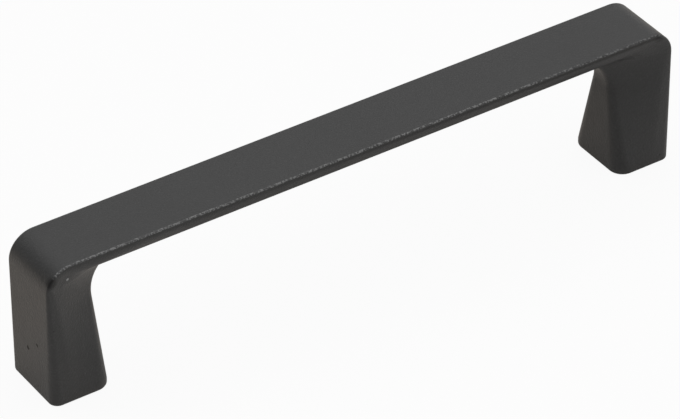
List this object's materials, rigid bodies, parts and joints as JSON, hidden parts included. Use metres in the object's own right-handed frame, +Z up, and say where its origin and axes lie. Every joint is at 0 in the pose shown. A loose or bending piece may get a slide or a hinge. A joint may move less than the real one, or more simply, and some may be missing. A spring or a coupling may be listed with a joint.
{
  "type": "furniture handle",
  "caption": "One-piece cast bar pull for a drawer or cabinet door: a flat-topped bar on two tapering legs with tapped holes in the feet.",
  "frame": {"origin": "middle of the base, on the mounting plane midway between the two screw holes", "axes": "+X along the bar, +Y across the bar, +Z up from the feet to the bar"},
  "size_m": [0.1406, 0.0154, 0.0303],
  "materials": {
    "powder_coat": "matt black powder coat, finely textured"
  },
  "bodies": {
    "root": {"pull_handle": "powder_coat"}
  },
  "joints": []
}
